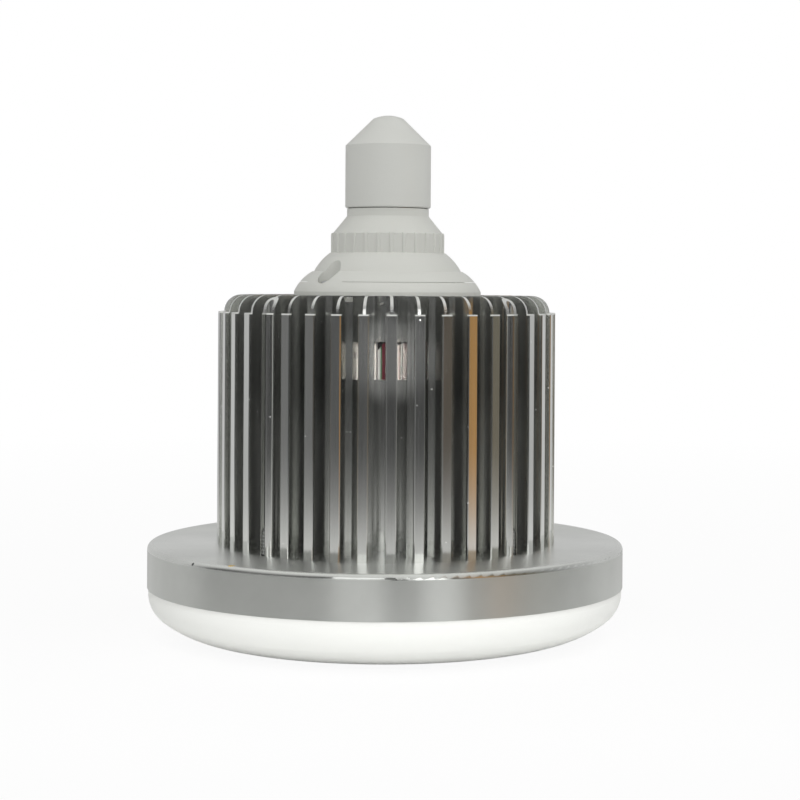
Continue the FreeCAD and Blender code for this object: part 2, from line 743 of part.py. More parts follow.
def make_screw_shell():
    """Rolled metal shell of the screw base, drawn as even waves of the thread's section."""
    body = new_body("screw_shell")
    flank = S.thread_pitch / 4
    wave = []
    for turn in range(int(S.thread_turns.value)):
        foot = thread_base + S.thread_pitch * turn
        wave += [
            (thread_root_radius, foot),
            (S.thread_radius, foot + flank),
            (S.thread_radius, foot + 2 * flank),
            (thread_root_radius, foot + 3 * flank),
        ]
    outside = [(thread_root_radius, shell_base)] + wave
    outside += [(thread_root_radius, thread_top), (S.shell_mouth_radius, shell_top)]
    inside = [(radius - S.shell_wall, height) for radius, height in reversed(outside)]
    revolved(body, "shell", outside + inside)


def make_base_insulator():
    """Insulating cone that closes the shell and carries the centre contact."""
    body = new_body("base_insulator")
    foot = S.shell_mouth_radius - S.shell_wall - S.seat_gap
    plug = foot - S.insulator_step
    revolved(body, "cone", [
        (0, shell_top - S.insulator_height / 2),
        (plug, shell_top - S.insulator_height / 2),
        (foot, shell_top),
        (S.contact_radius + S.insulator_step, insulator_top),
        (0, insulator_top),
    ])


def make_centre_contact():
    body = new_body("centre_contact")
    revolved(body, "button", [
        (0, insulator_top),
        (S.contact_radius, insulator_top, lens_radius(S.contact_radius, S.contact_height), -1),
        (0, contact_top),
    ])


def make_lamp_board():
    """Aluminium disc with the wire hole and the pan's four screw holes."""
    body = new_body("led_board")
    sketch = new_sketch(body, "disc_plan", height=lamp_board_bottom)
    circle(sketch, 0, 0, S.lamp_board_radius)
    circle(sketch, 0, 0, S.lamp_board_hole_radius)
    padded(body, "disc", sketch, S.lamp_board_wall)
    sketch = new_sketch(body, "screw_hole_plan", height=lamp_board_bottom, turn=port_angle)
    circle(sketch, 0, -port_circle_radius, S.screw_hole_radius)
    hole = pocketed(body, "screw_hole", sketch, S.lamp_board_wall)
    patterned(body, "screw_holes", [hole], 4, (sketch, ["N_Axis"]))


def make_lamps():
    """Rings of square lamp chips under the board, turned to face the axis."""
    chip = Part.makeBox(
        S.lamp_width.value,
        S.lamp_length.value,
        S.lamp_height.value,
        FreeCAD.Vector(-S.lamp_width.value / 2, -S.lamp_length.value / 2, 0),
    )
    level = lamp_board_bottom.value - S.lamp_height.value
    chips = []
    for ring in range(1, S.lamp_ring_count.value + 1):
        count = ring * S.lamps_per_ring_step.value
        radius = S.lamp_first_ring.value + (ring - 1) * S.lamp_ring_step.value
        for number in range(count):
            turn = 360 * (number + 0.5) / count
            copy = chip.copy()
            copy.translate(FreeCAD.Vector(radius, 0, level))
            copy.rotate(FreeCAD.Vector(), FreeCAD.Vector(0, 0, 1), turn)
            chips.append(copy)
    shaped("led_chips", Part.makeCompound(chips))


def screw_shape(length):
    """A pan-head screw that points up from z = 0 under its head."""
    shank = S.port_bore_radius.value - S.port_clearance.value
    head = S.screw_head_radius.value
    rise = S.screw_head_height.value
    crown = (S.screw_crown_radius.value, -rise)
    rim = (head, -S.screw_rim_height.value)
    points = [(0, -rise), crown, rim, (head, 0), (shank, 0), (shank, length - shank), (0, length)]
    wire = Part.makePolygon([FreeCAD.Vector(x, 0, z) for x, z in points + points[:1]])
    return Part.Face(wire).revolve(FreeCAD.Vector(), FreeCAD.Vector(0, 0, 1), 360)


def screw_group(name, length, radius, first_angle, count, level, points_down=False):
    """Identical screws evenly round the axis, in one sub-part."""
    screws = []
    for number in range(count):
        screw = screw_shape(length.value)
        if points_down:
            screw.rotate(FreeCAD.Vector(), FreeCAD.Vector(1, 0, 0), 180)
        screw.translate(FreeCAD.Vector(0, -radius.value, level.value))
        turn = first_angle.value + 360 * number / count
        screw.rotate(FreeCAD.Vector(), FreeCAD.Vector(0, 0, 1), turn)
        screws.append(screw)
    shaped(name, Part.makeCompound(screws))


def make_box(name, width, depth, height, side, back, base, radius=None):
    """A block on the driver board's front or elsewhere, centred on side, rounded if asked."""
    body = new_body(name)
    sketch = new_sketch(body, f"{name}_plan", height=base)
    outline(sketch, box_corners(side - width / 2, side + width / 2, back - depth, back))
    block = padded(body, f"{name}_block", sketch, height)
    if radius is not None:
        rounded(body, f"{name}_round", block, radius)
    return body


def make_can(name, radius, length, side, base):
    """A capacitor can with a crimp near its foot, upright against the driver board."""
    body = new_body(name)
    crimp = S.can_crimp
    edge = S.can_edge
    revolved(body, f"{name}_can", [
        (0, 0),
        (radius - edge, 0),
        (radius, edge),
        (radius, 2 * crimp + edge),
        (radius - crimp, 3 * crimp + edge),
        (radius, 4 * crimp + edge),
        (radius, length - edge),
        (radius - edge, length),
        (0, length),
    ])
    bind(
        body,
        Placement__Base__x=side,
        Placement__Base__y=board_front - radius - S.seat_gap,
        Placement__Base__z=base,
    )


def make_transformer():
    """Ferrite core with two windows, and the taped winding round its centre leg."""
    back = board_front - S.winding_stand - S.seat_gap
    base = board_top - S.transformer_drop
    left = S.transformer_side - S.transformer_width / 2
    right = S.transformer_side + S.transformer_width / 2
    top = base + S.transformer_height
    leg = S.transformer_leg
    half_centre = S.transformer_centre / 2
    body = new_body("transformer_core")
    sketch = new_sketch(body, "core_front", "XZ_Plane")
    outline(sketch, box_corners(left, right, base, top))
    for low_side, high_side in (
        (left + leg, S.transformer_side - half_centre),
        (S.transformer_side + half_centre, right - leg),
    ):
        outline(sketch, box_corners(low_side, high_side, base + leg, top - leg))
    block = padded(body, "core_block", sketch, S.transformer_depth)
    bind(body, Placement__Base__y=back)
    body.Tip = block

    body = new_body("transformer_winding")
    gap = S.winding_gap
    front = back - S.transformer_depth
    sketch = new_sketch(body, "winding_plan", height=base + leg + gap)
    outline(sketch, box_corners(
        left + leg + gap, right - leg - gap, front - S.winding_stand, back + S.winding_stand
    ))
    outline(sketch, box_corners(
        S.transformer_side - half_centre - gap, S.transformer_side + half_centre + gap,
        front - gap, back + gap,
    ))
    padded(body, "winding_block", sketch, S.transformer_height - 2 * leg - 2 * gap)


def make_choke():
    ring = doc.addObject("Part::Torus", "input_choke")
    ring.Label = "input_choke"
    bind(
        ring,
        Radius1=S.choke_radius,
        Radius2=S.choke_section,
        Placement__Base__x=S.choke_side,
        Placement__Base__y=board_front - S.choke_section - S.seat_gap,
        Placement__Base__z=board_top - S.choke_drop,
    )
    ring.Placement.Rotation = FreeCAD.Rotation(FreeCAD.Vector(1, 0, 0), 90)
    subparts.append(ring)


def make_fuse():
    """Fusible resistor, level across the top of the driver board."""
    rod = doc.addObject("Part::Cylinder", "fuse_resistor")
    rod.Label = "fuse_resistor"
    rod.Placement.Rotation = FreeCAD.Rotation(FreeCAD.Vector(0, 1, 0), 90)
    bind(
        rod,
        Radius=S.fuse_radius,
        Height=S.fuse_length,
        Placement__Base__x=-(S.fuse_length / 2),
        Placement__Base__y=board_front - S.fuse_radius - S.seat_gap,
        Placement__Base__z=board_top - S.fuse_drop,
    )
    subparts.append(rod)


def wire_path(points, corner_share=0.45):
    """Straight runs joined by tangent arcs that take a share of the shorter run."""
    edges = []
    start = points[0]
    for before, corner, after in zip(points, points[1:], points[2:]):
        inward = before - corner
        outward = after - corner
        room = corner_share * min(inward.Length, outward.Length)
        half_turn = (math.pi - inward.getAngle(outward)) / 2
        first = corner + inward.normalize() * room
        last = corner + outward.normalize() * room
        toward = (inward + outward).normalize()
        radius = room / math.tan(half_turn)
        reach = radius / math.cos(half_turn) - radius
        edges.append(Part.LineSegment(start, first).toShape())
        edges.append(Part.Arc(first, corner + toward * reach, last).toShape())
        start = last
    edges.append(Part.LineSegment(start, points[-1]).toShape())
    return Part.Wire(edges)


def make_wire(name, points):
    """A round wire along its route inside the lamp."""
    vectors = [FreeCAD.Vector(*(sized(number).value for number in point)) for point in points]
    path = wire_path(vectors)
    radius = S.wire_radius.value
    section = Part.Wire(Part.makeCircle(radius, vectors[0], vectors[1] - vectors[0]))
    tube = path.makePipeShell([section], True, False)
    expected = math.pi * radius ** 2 * path.Length
    if not math.isclose(tube.Volume, expected, rel_tol=0.02):
        raise ValueError(f"{name} has the wrong volume")
    shaped(name, tube)


def make_mains_wires():
    """From the centre contact and the screw shell down to the top of the driver board."""
    front = board_front - S.wire_radius - S.seat_gap
    landing = board_top - 2
    beside_spigot = -(spigot_radius - S.spigot_wall - S.wire_radius - S.seat_gap)
    make_wire("live_wire", [
        (0, 0, shell_top - S.insulator_height / 2 - S.seat_gap),
        (0, 0, neck_top + 2),
        (3, 1, neck_base - 4),
        (7, front, grip_base - 1),
        (8, front, landing),
    ])
    make_wire("neutral_wire", [
        (beside_spigot, 0, neck_top + S.spigot_height - 1),
        (beside_spigot, 0, neck_base + 1),
        (-8, 2, grip_top - 2),
        (-12, front, grip_base - 3),
        (-13, front, landing),
    ])


def make_lamp_wires():
    """From the driver board down through the pan to the lamp board's connector."""
    front = board_front - S.wire_radius - S.seat_gap
    film_top = board_top - S.film_drop + S.film_height
    over_film = film_top + 5
    film_front = board_front - S.film_depth - S.wire_radius - 2 * S.seat_gap
    board_third = board_foot + board_height / 3
    under_board = lamp_board_bottom - S.connector_height / 2
    connector_face = S.connector_side - S.connector_width / 2 - S.seat_gap
    apart = S.wire_radius + S.seat_gap
    make_wire("negative_wire", [
        (1.5, front, over_film),
        (0.8, front - 4, over_film),
        (0.3, film_front, film_top + 1.5),
        (-5, film_front - 3, film_top - 5.8),
        (-14.2, film_front + 1, film_top - 12),
        (-14.2, front - 4.6, board_third),
        (-9, front - 3.1, board_foot + 8),
        (-6, front - 2.1, pan_top + 2),
        (0, -apart, pan_top + 2),
        (0, -apart, under_board),
        (connector_face, -apart, under_board),
    ])
    make_wire("positive_wire", [
        (0.5, front, board_third - 6),
        (0.5, front - 2, board_third - 12),
        (0.5, front - 2, pan_top + 4.2),
        (0, apart, pan_top + 4.2),
        (0, apart, under_board),
        (connector_face, apart, under_board),
    ])


def build_all():
    make_diffuser()
    make_mounting_pan()
    make_heat_sink()
    make_driver_housing()
    make_base_cap()
    make_screw_shell()
    make_base_insulator()
    make_centre_contact()
    make_lamp_board()
    make_lamps()
    screw_group(
        "pan_screws", S.screw_length, port_circle_radius, port_angle, 4, lamp_board_bottom
    )
    screw_group(
        "housing_screws", S.housing_screw_length, S.screw_circle_radius, S.housing_screw_angle, 2,
        sink_top + S.pocket_floor, points_down=True,
    )
    make_box(
        "driver_board", S.board_width, S.board_wall, board_height,
        sized(0), board_front + S.board_wall, board_foot,
    )
    make_can(
        "smoothing_capacitor", S.capacitor_radius, S.capacitor_length, S.capacitor_side,
        board_top - S.capacitor_drop,
    )
    make_can(
        "output_capacitor", S.output_radius, S.output_length, S.output_side,
        pan_top + S.output_base,
    )
    on_board = board_front - S.seat_gap
    make_box(
        "film_capacitor", S.film_width, S.film_depth, S.film_height, S.film_side, on_board,
        board_top - S.film_drop, radius=S.film_round,
    )
    make_box(
        "bridge_rectifier", S.bridge_width, S.bridge_depth, S.bridge_height, S.bridge_side,
        on_board, board_top - S.bridge_drop,
    )
    make_box(
        "control_chip", S.chip_width, S.chip_depth, S.chip_height, S.chip_side, on_board,
        board_top - S.chip_drop,
    )
    make_box(
        "wire_connector", S.connector_width, S.connector_depth, S.connector_height,
        S.connector_side, S.connector_depth / 2, lamp_board_bottom - S.connector_height,
    )
    make_transformer()
    make_choke()
    make_fuse()
    make_mains_wires()
    make_lamp_wires()


def check_and_export():
    """Stop on any failed object, then write each sub-part to its own file."""
    doc.recompute()
    for item in doc.Objects:
        if "Invalid" in item.State or "Error" in item.State:
            raise RuntimeError(f"{item.Name} failed: {item.State}")
    os.makedirs("parts", exist_ok=True)
    for item in subparts:
        shape = item.Shape
        if shape.isNull() or not shape.isValid():
            raise RuntimeError(f"{item.Label} has no valid shape")
        shape.exportStep(f"parts/{item.Label}.step")
        print(f"{item.Label}: {len(shape.Solids)} solids, {shape.Volume:.1f} mm3")


build_all()
check_and_export()
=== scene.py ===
import math
import random

import bpy
from mathutils import Matrix, Vector


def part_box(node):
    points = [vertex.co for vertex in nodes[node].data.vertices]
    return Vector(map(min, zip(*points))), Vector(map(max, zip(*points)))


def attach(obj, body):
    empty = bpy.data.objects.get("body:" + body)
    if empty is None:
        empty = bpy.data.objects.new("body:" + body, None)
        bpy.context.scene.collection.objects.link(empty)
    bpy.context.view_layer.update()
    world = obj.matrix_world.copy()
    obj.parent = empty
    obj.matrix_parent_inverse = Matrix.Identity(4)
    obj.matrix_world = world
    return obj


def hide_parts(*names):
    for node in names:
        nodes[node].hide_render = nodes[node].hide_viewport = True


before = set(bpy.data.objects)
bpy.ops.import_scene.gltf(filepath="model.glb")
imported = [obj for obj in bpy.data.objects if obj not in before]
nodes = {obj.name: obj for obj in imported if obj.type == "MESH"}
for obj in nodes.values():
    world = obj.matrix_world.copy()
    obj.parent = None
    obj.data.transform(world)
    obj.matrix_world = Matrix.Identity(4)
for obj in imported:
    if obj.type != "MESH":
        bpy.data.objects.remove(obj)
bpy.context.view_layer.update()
scene = bpy.context.scene

MM = 0.001
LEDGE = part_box("heat_sink")[1][2] - 5.8 * MM  # flat ledge at the end of the fin tips
GRAIN = (0.0105, -0.0573, 0.1093)  # white grain on a front fin tip
STAIN = (-0.0486, -0.0634, 0.0317)  # yellow spot on the pan
NICK = (-0.0617, -0.0536, 0.0308)  # dark nick in the pan's rounded edge
SCRATCH_Y = -0.0642  # thin scratch that runs from the spot to the right
SCRATCH_END = (-0.0430, -0.0436)  # from nothing to its full depth
GRIP_RADIUS = 19.2 * MM  # band of the finger grip, between its ribs
GRIP_HEIGHT = 6.6 * MM
GRIP_DROP = 9.0 * MM  # from the rim of the cap down to the top of the band
RIB_COUNT = 27
RIB_HEIGHT = 0.5 * MM
RIB_HALF = 0.75 * MM  # half its width
RIB_ANGLE = 3.5  # turn of the first rib, in degrees
HEAD_RISE = 2.0 * MM  # height of a screw's head


# Camera and lamps


def around_axis(radius, degrees, height):
    """Place beside the axis; the angle runs from the front towards +X."""
    angle = math.radians(degrees)
    return radius * math.sin(angle), -radius * math.cos(angle), height


def add_camera():
    """Level view from the front; the picture is cut off-centre."""
    data = bpy.data.cameras.new("camera")
    data.sensor_width = 36
    data.lens = 90.6
    data.shift_x = -0.0723
    data.shift_y = -0.1481
    camera = bpy.data.objects.new("camera", data)
    scene.collection.objects.link(camera)
    distance, height = 0.700, 0.1217
    yaw, upright, roll = math.radians(2.0), math.radians(90), math.radians(0.35)
    camera.matrix_world = (
        Matrix.Translation((0, -distance, height))
        @ Matrix.Rotation(-yaw, 4, "Z")
        @ Matrix.Rotation(upright, 4, "X")
        @ Matrix.Rotation(roll, 4, "Z")
    )
    scene.camera = camera


def add_lamp(kind, name, place, target, power, shows=False, **settings):
    """A lamp turned towards its target; the metal mirrors it only where it shows."""
    data = bpy.data.lights.new(name, kind)
    data.energy = power
    for key, value in settings.items():
        setattr(data, key, value)
    lamp = bpy.data.objects.new(name, data)
    scene.collection.objects.link(lamp)
    way = Vector(target) - Vector(place)
    turned = way.to_track_quat("-Z", "Y").to_matrix().to_4x4()
    lamp.matrix_world = Matrix.Translation(place) @ turned
    lamp.visible_glossy = shows


def add_area(name, place, target, width, height, power, shows=False):
    settings = {"shape": "RECTANGLE", "size": width, "size_y": height}
    add_lamp("AREA", name, place, target, power, shows, **settings)


def add_beam(name, place, target, power, cone, size):
    settings = {"spot_size": math.radians(cone), "spot_blend": 0.5, "shadow_soft_size": size}
    add_lamp("SPOT", name, place, target, power, **settings)


# Node helpers


class Graph:
    """Builds one node tree with short calls."""

    def __init__(self, tree):
        self.tree = tree
        self.nodes = tree.nodes
        self.links = tree.links

    def add(self, kind, **settings):
        node = self.nodes.new(kind)
        for key, value in settings.items():
            setattr(node, key, value)
        return node

    def put(self, socket, value):
        if hasattr(value, "is_output"):
            self.links.new(value, socket)
        else:
            socket.default_value = value

    def math(self, operation, a, b=0.0, clamp=False):
        node = self.add("ShaderNodeMath", operation=operation, use_clamp=clamp)
        self.put(node.inputs[0], a)
        self.put(node.inputs[1], b)
        return node.outputs[0]

    def mix(self, factor, a, b):
        node = self.add("ShaderNodeMix", data_type="RGBA")
        self.put(node.inputs[0], factor)
        self.put(node.inputs[6], a)
        self.put(node.inputs[7], b)
        return node.outputs[2]

    def coordinates(self):
        return self.add("ShaderNodeTexCoord").outputs["Object"]

    def scaled(self, vector, scale):
        node = self.add("ShaderNodeMapping")
        self.put(node.inputs["Vector"], vector)
        node.inputs["Scale"].default_value = scale
        return node.outputs[0]

    def noise(self, vector, scale, detail=3.0, roughness=0.5):
        node = self.add("ShaderNodeTexNoise")
        self.put(node.inputs["Vector"], vector)
        node.inputs["Scale"].default_value = scale
        node.inputs["Detail"].default_value = detail
        node.inputs["Roughness"].default_value = roughness
        return node.outputs["Fac"]

    def ramp(self, factor, stops):
        node = self.add("ShaderNodeValToRGB")
        elements = node.color_ramp.elements
        while len(elements) > 1:
            elements.remove(elements[-1])
        for index, (place, color) in enumerate(stops):
            element = elements[0] if index == 0 else elements.new(place)
            element.position = place
            element.color = (*color, 1) if hasattr(color, "__len__") else (color, color, color, 1)
        self.put(node.inputs[0], factor)
        return node.outputs[0]

    def shades(self, grain, color, depth):
        """A written colour that the grain darkens down to a share of it."""
        full = srgb(*color)
        dark = tuple(depth * value for value in full)
        return self.ramp(grain, [(0.3, dark), (0.7, full)])

    def band(self, value, low, high):
        """0 below low, 1 above high."""
        node = self.add("ShaderNodeMapRange")
        self.put(node.inputs[0], value)
        node.inputs[1].default_value = low
        node.inputs[2].default_value = high
        return node.outputs[0]

    def split(self, vector):
        node = self.add("ShaderNodeSeparateXYZ")
        self.put(node.inputs[0], vector)
        return node.outputs

    def radius(self, x, y):
        squares = self.math("ADD", self.math("MULTIPLY", x, x), self.math("MULTIPLY", y, y))
        return self.math("SQRT", squares)

    def distance(self, value, middle):
        return self.math("ABSOLUTE", self.math("SUBTRACT", value, middle))

    def spot(self, vector, middle, radius):
        """1 within a small uneven spot around a point, 0 outside it."""
        away = self.add("ShaderNodeVectorMath", operation="DISTANCE")
        self.put(away.inputs[0], vector)
        away.inputs[1].default_value = middle
        uneven = self.math("MULTIPLY", self.noise(vector, 900, 2), radius * 0.8)
        reach = self.math("ADD", away.outputs["Value"], uneven)
        return self.band(reach, radius * 1.6, radius * 1.2)

    def bump(self, height, strength, distance, normal=None):
        node = self.add("ShaderNodeBump")
        node.inputs["Strength"].default_value = strength
        node.inputs["Distance"].default_value = distance
        self.put(node.inputs["Height"], height)
        if normal is not None:
            self.put(node.inputs["Normal"], normal)
        return node.outputs[0]

    def specks(self, vector, scale, share, size):
        """Sparse small spots: 1 inside a spot, 0 elsewhere."""
        cells = self.add("ShaderNodeTexVoronoi")
        self.put(cells.inputs["Vector"], vector)
        cells.inputs["Scale"].default_value = scale
        near = self.band(cells.outputs["Distance"], size, size * 0.6)
        pick = self.math("LESS_THAN", self.split(cells.outputs["Color"])[0], share)
        return self.math("MULTIPLY", near, pick)


def new_material(name, metallic=0.0, roughness=0.5, **sockets):
    """A principled material and its graph."""
    material = bpy.data.materials.new(name)
    material.use_nodes = True
    graph = Graph(material.node_tree)
    shader = graph.nodes["Principled BSDF"]
    shader.inputs["Metallic"].default_value = metallic
    shader.inputs["Roughness"].default_value = roughness
    for key, value in sockets.items():
        shader.inputs[key.replace("_", " ")].default_value = value
    return material, graph, shader


def srgb(*values):
    """Linear colour of a written one, 0 to 255."""
    out = []
    for value in values:
        c = value / 255
        out.append(c / 12.92 if c <= 0.04045 else ((c + 0.055) / 1.055) ** 2.4)
    return tuple(out)


def dress(names, material):
    """Give the solids' own meshes their material."""
    for name in names:
        mesh = nodes[name].data
        mesh.materials.clear()
        mesh.materials.append(material)


# Materials


def extruded_aluminium():
    """Bright extrusion with fine lines along its length; sawn and turned faces are whiter."""
    material, g, shader = new_material("extruded_aluminium", metallic=0.93, roughness=0.16)
    where = g.coordinates()
    lines = g.noise(g.scaled(where, (1, 1, 0.004)), scale=2600, detail=4)
    broad = g.noise(g.scaled(where, (1, 1, 0.02)), scale=500, detail=2)
    fine_dust = g.specks(where, scale=420, share=0.10, size=0.10)
    dust = g.math("MAXIMUM", fine_dust, g.spot(where, GRAIN, radius=0.26 * MM))
    up = g.math("ABSOLUTE", g.split(g.add("ShaderNodeNewGeometry").outputs["True Normal"])[2])
    cut = g.band(up, 0.12, 0.3)
    tone = g.ramp(broad, [(0.3, srgb(238, 239, 236)), (0.7, srgb(245, 246, 243))])
    g.put(shader.inputs["Base Color"], g.mix(dust, tone, (0.9, 0.9, 0.88, 1)))
    x, y, z = g.split(where)
    radius = g.radius(x, y)
    # The faces of the tips are cleaner than the webs and the core
    at_tips = g.band(radius, 0.0535, 0.0555)
    at_upper_end = g.math("MULTIPLY", g.band(z, 0.070, 0.086), 0.7)
    clean = g.math("MAXIMUM", at_tips, at_upper_end)
    clean = g.math("ADD", g.math("MULTIPLY", clean, 0.06), 0.92)
    g.put(shader.inputs["Metallic"], g.math("MULTIPLY", g.math("SUBTRACT", 1.0, dust), clean))
    rough = g.math("ADD", g.math("MULTIPLY", lines, 0.10), 0.06)
    rough = g.math("ADD", rough, g.math("MULTIPLY", cut, 0.2))
    rough = g.math("ADD", rough, g.math("MULTIPLY", dust, 0.4), clamp=True)
    g.put(shader.inputs["Roughness"], rough)
    # The turned end of each fin tip is broken by a fine bevel
    bevel_height = 0.45 * MM
    on_faces = g.band(radius, 0.0564, 0.0566)
    bevel = g.math("MULTIPLY", g.band(z, LEDGE, LEDGE - bevel_height), on_faces)
    scratched = g.bump(lines, strength=0.12, distance=0.0002)
    g.put(shader.inputs["Normal"], g.bump(bevel, strength=1.0, distance=0.0004, normal=scratched))
    return material


def spun_aluminium():
    """Satin pan with circular brushing, which draws highlights out into spokes."""
    material, g, shader = new_material(
        "spun_aluminium", metallic=1.0, roughness=0.45, Anisotropic=0.95, Anisotropic_Rotation=0.25
    )
    tangent = g.add("ShaderNodeTangent", direction_type="RADIAL", axis="Z")
    g.put(shader.inputs["Tangent"], tangent.outputs[0])
    where = g.coordinates()
    x, y, z = g.split(where)
    radius = g.radius(x, y)
    rings = g.add("ShaderNodeCombineXYZ")
    g.put(rings.inputs[0], radius)
    g.put(rings.inputs[1], z)
    lines = g.noise(rings.outputs[0], scale=5200, detail=5)
    clouds = g.noise(where, scale=40, detail=4)
    tone = g.ramp(clouds, [(0.35, srgb(232, 234, 230)), (0.65, srgb(243, 245, 241))])
    stain = g.spot(where, STAIN, radius=1.15 * MM)
    nick = g.spot(where, NICK, radius=0.55 * MM)
    start = g.band(x, STAIN[0], STAIN[0] + 0.5 * MM)
    scratch = g.math("MULTIPLY", start, g.band(x, *SCRATCH_END))
    thin = g.band(g.distance(y, SCRATCH_Y), 0.22 * MM, 0.10 * MM)
    on_top = g.band(z, 0.0310, 0.0312)
    scratch = g.math("MULTIPLY", g.math("MULTIPLY", scratch, thin), on_top)
    tone = g.mix(g.math("MULTIPLY", scratch, 0.6), tone, (*srgb(196, 172, 112), 1))
    tone = g.mix(stain, tone, (*srgb(214, 178, 84), 1))
    tone = g.mix(g.math("MULTIPLY", nick, 0.85), tone, (*srgb(70, 70, 72), 1))
    up = g.split(g.add("ShaderNodeNewGeometry").outputs["Normal"])[2]
    # Painted shade: the faces of the rim that point sideways are painted 16% darker than the top
    rim = g.math("MULTIPLY", g.band(up, 0.15, 0.05), 0.16)
    g.put(shader.inputs["Base Color"], g.mix(rim, tone, (0, 0, 0, 1)))
    g.put(shader.inputs["Metallic"], g.math("SUBTRACT", 1.0, g.math("MULTIPLY", stain, 0.8)))
    # The rim is satin, the rounded edge polished and the top brushed
    level = g.ramp(up, [(0.10, 0.34), (0.25, 0.18), (0.88, 0.18), (0.97, 0.25)])
    brushed = g.math("MULTIPLY", lines, g.ramp(up, [(0.05, 1.0), (0.15, 0.0), (0.95, 0.0), (0.99, 1.0)]))
    g.put(shader.inputs["Roughness"], g.math("ADD", g.math("MULTIPLY", brushed, 0.08), level))
    g.put(shader.inputs["Normal"], g.bump(brushed, strength=0.08, distance=0.0002))
    return material


def moulded(name, color):
    """Matt plastic with a fine grain."""
    roughness = 0.42
    material, g, shader = new_material(name, roughness=roughness)
    where = g.coordinates()
    fine = g.noise(where, scale=1500, detail=4)
    broad = g.noise(where, scale=30, detail=2)
    g.put(shader.inputs["Base Color"], g.shades(broad, color, 0.97))
    g.put(shader.inputs["Roughness"], g.math("ADD", g.math("MULTIPLY", fine, 0.12), roughness - 0.06))
    g.put(shader.inputs["Normal"], g.bump(fine, strength=0.05, distance=0.0003))
    return material


def opal():
    """Milky plastic that lets a little light spread in it."""
    material, g, shader = new_material("opal_plastic", roughness=0.45, Specular_IOR_Level=0.2)
    where = g.coordinates()
    broad = g.noise(where, scale=25, detail=2)
    tone = g.ramp(broad, [(0.3, srgb(251, 252, 248)), (0.7, srgb(253, 254, 250))])
    g.put(shader.inputs["Base Color"], tone)
    shader.inputs["Subsurface Weight"].default_value = 0.15
    shader.inputs["Subsurface Radius"].default_value = (1, 1, 1)
    shader.inputs["Subsurface Scale"].default_value = 0.003
    fine = g.noise(where, scale=900, detail=3)
    g.put(shader.inputs["Normal"], g.bump(fine, strength=0.02, distance=0.0002))
    return material


def plain(name, color, roughness, metallic=0.0):
    """One colour with a slight grain."""
    material, g, shader = new_material(name, roughness=roughness, metallic=metallic)
    grain = g.noise(g.coordinates(), scale=300, detail=3)
    g.put(shader.inputs["Base Color"], g.shades(grain, color, 0.94))
    return material


def banded(name, color, band_color, axis, start, end=1.0):
    """Plain plastic with one pale band between two places on an axis."""
    material, g, shader = new_material(name, roughness=0.35)
    where = g.coordinates()
    place = g.split(where)[axis]
    soft = 0.1 * MM
    band = g.math("MULTIPLY", g.band(place, start, start + soft), g.band(place, end, end - soft))
    grain = g.noise(where, scale=300, detail=3)
    base, pale = (g.shades(grain, shade, 0.94) for shade in (color, band_color))
    g.put(shader.inputs["Base Color"], g.mix(band, base, pale))
    return material


def set_materials():
    dress(["heat_sink"], extruded_aluminium())
    dress(["mounting_pan"], spun_aluminium())
    dress(["driver_housing"], moulded("housing_plastic", (216, 217, 211)))
    dress(["base_cap"], moulded("cap_plastic", (216, 217, 212)))
    dress(["diffuser"], opal())
    dress(["base_insulator"], plain("black_insulator", (24, 24, 26), roughness=0.25))
    dress(["centre_contact"], plain("contact_brass", (214, 186, 120), roughness=0.3, metallic=1.0))
    dress(["led_board"], plain("board_white", (226, 228, 226), roughness=0.45))
    dress(["led_chips"], plain("lamp_phosphor", (232, 206, 96), roughness=0.4))
    board = banded("circuit_board", (72, 112, 80), (222, 206, 198), axis=0, start=0.0034, end=0.0060)
    dress(["driver_board"], board)
    sleeve = plain("capacitor_sleeve", (225, 226, 220), roughness=0.3)
    dress(["smoothing_capacitor", "output_capacitor"], sleeve)
    dress(["film_capacitor"], banded("red_epoxy", (66, 30, 35), (204, 198, 190), axis=0, start=-0.0002))
    dress(["bridge_rectifier", "control_chip"], plain("black_epoxy", (36, 36, 38), roughness=0.5))
    dress(["wire_connector"], plain("connector_plastic", (232, 230, 222), roughness=0.4))
    dress(["transformer_core"], plain("ferrite", (172, 160, 158), roughness=0.3))
    dress(["transformer_winding"], plain("winding_tape", (206, 192, 178), roughness=0.35))
    dress(["input_choke"], plain("copper_winding", (150, 82, 46), roughness=0.3, metallic=0.8))
    dress(["fuse_resistor"], plain("resistor_ceramic", (108, 150, 140), roughness=0.5))
    dress(["live_wire", "positive_wire"], plain("red_insulation", (158, 30, 30), roughness=0.45))
    dress(["neutral_wire"], plain("white_insulation", (226, 226, 220), roughness=0.45))
    dress(["negative_wire"], plain("black_insulation", (28, 28, 28), roughness=0.45))


# Threads, screws, ribs and flakes


def build_piece(name, parts, material, body, stands_for=None):
    """One smooth mesh out of several lists of vertices and faces."""
    points, faces = [], []
    for part_points, part_faces in parts:
        first = len(points)
        points += part_points
        faces += [tuple(index + first for index in face) for face in part_faces]
    mesh = bpy.data.meshes.new(name)
    mesh.from_pydata(points, [], faces)
    mesh.update()
    mesh.shade_smooth()
    mesh.set_sharp_from_angle(angle=math.radians(40))
    mesh.materials.append(material)
    piece = bpy.data.objects.new(name, mesh)
    scene.collection.objects.link(piece)
    if stands_for:
        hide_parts(stands_for)
    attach(piece, body)


def ring_faces(rows, around, closed=False):
    """Quads between rings of points, with the first and last row joined when closed."""
    faces = []
    for row in range(rows if closed else rows - 1):
        low, high = row * around, (row + 1) % rows * around
        for index in range(around):
            after = (index + 1) % around
            faces.append((low + index, low + after, high + after, high + index))
    return faces


def thread_wave(turns):
    """Height of a rounded thread, 0 to 1, against turns along the axis."""
    return 0.5 - 0.5 * math.cos(2 * math.pi * turns)


